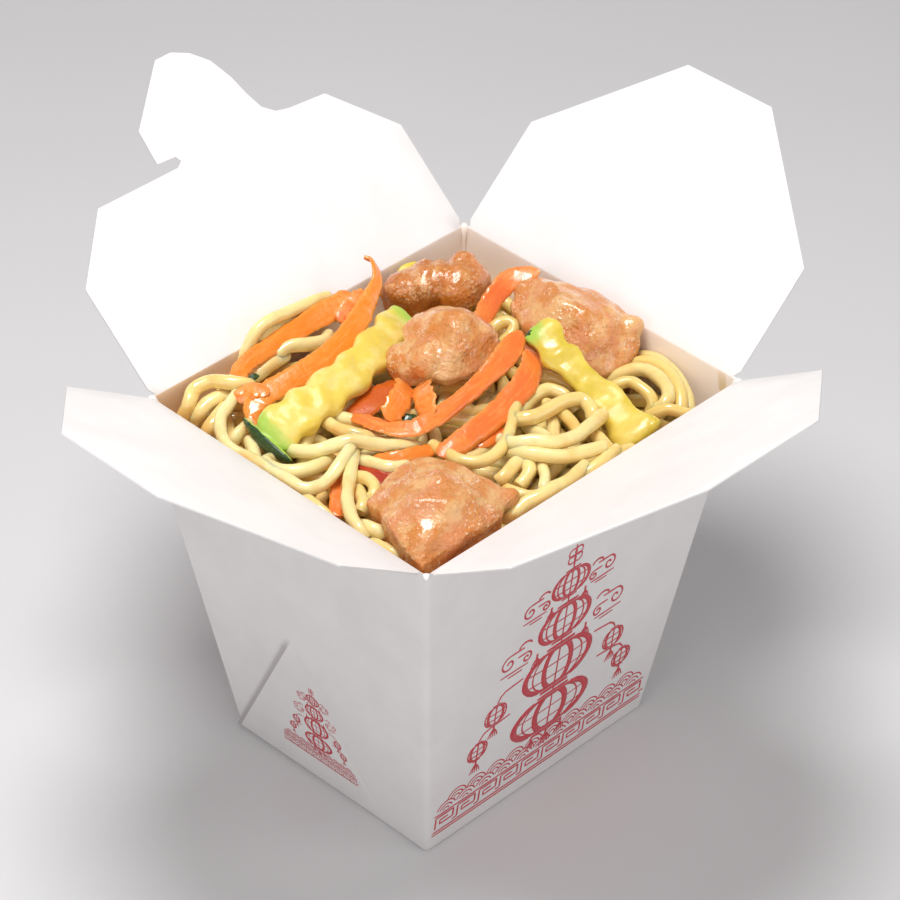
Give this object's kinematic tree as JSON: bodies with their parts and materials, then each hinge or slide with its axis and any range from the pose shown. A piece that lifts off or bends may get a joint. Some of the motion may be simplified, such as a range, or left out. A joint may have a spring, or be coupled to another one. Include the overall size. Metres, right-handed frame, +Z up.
{
  "type": "takeaway noodle box",
  "caption": "Open tapered paperboard food box with hinged top flaps, filled with noodles and topped with chicken, carrot and courgette.",
  "frame": {"origin": "centre of the box's bottom face, on the surface that it stands on", "axes": "+Z up; -Y is the printed front wall, +Y the wall whose flap carries the closing hook, -X and +X the side walls"},
  "size_m": [0.2006, 0.1971, 0.1492],
  "materials": {
    "board": "white coated paperboard, satin",
    "noodle": "cooked, lightly oiled",
    "chicken": "browned and glazed",
    "carrot": "cooked, glossy",
    "courgette": "cooked, glossy"
  },
  "bodies": {
    "box": {"box_body": "board", "noodle_heap": "noodle", "chicken_front": "chicken", "chicken_centre": "chicken", "chicken_right": "chicken", "chicken_back": "chicken", "carrot_long_outer": "carrot", "carrot_long_inner": "carrot", "carrot_bend_back": "carrot", "carrot_arc_upper": "carrot", "carrot_arc_lower": "carrot", "carrot_curl_right": "carrot", "carrot_curl_left": "carrot", "carrot_short": "carrot", "carrot_front": "carrot", "carrot_under": "carrot", "courgette_left": "courgette", "courgette_right": "courgette"},
    "flap_front": {"flap_front": "board"},
    "flap_left": {"flap_left": "board"},
    "flap_right": {"flap_right": "board"},
    "flap_back": {"flap_back": "board"}
  },
  "joints": [
    {"name": "front_crease", "type": "hinge", "parent": "box", "child": "flap_front", "pos_m": [0, -0.046, 0.102], "axis": [-1, 0, 0], "range_deg": [-121, 56]},
    {"name": "left_crease", "type": "hinge", "parent": "box", "child": "flap_left", "pos_m": [-0.0525, 0, 0.102], "axis": [0, 1, 0], "range_deg": [-121.5, 93]},
    {"name": "right_crease", "type": "hinge", "parent": "box", "child": "flap_right", "pos_m": [0.0525, 0, 0.102], "axis": [0, -1, 0], "range_deg": [-130, 54]},
    {"name": "back_crease", "type": "hinge", "parent": "box", "child": "flap_back", "pos_m": [0, 0.046, 0.102], "axis": [1, 0, 0], "range_deg": [-128.5, 48.5]}
  ]
}
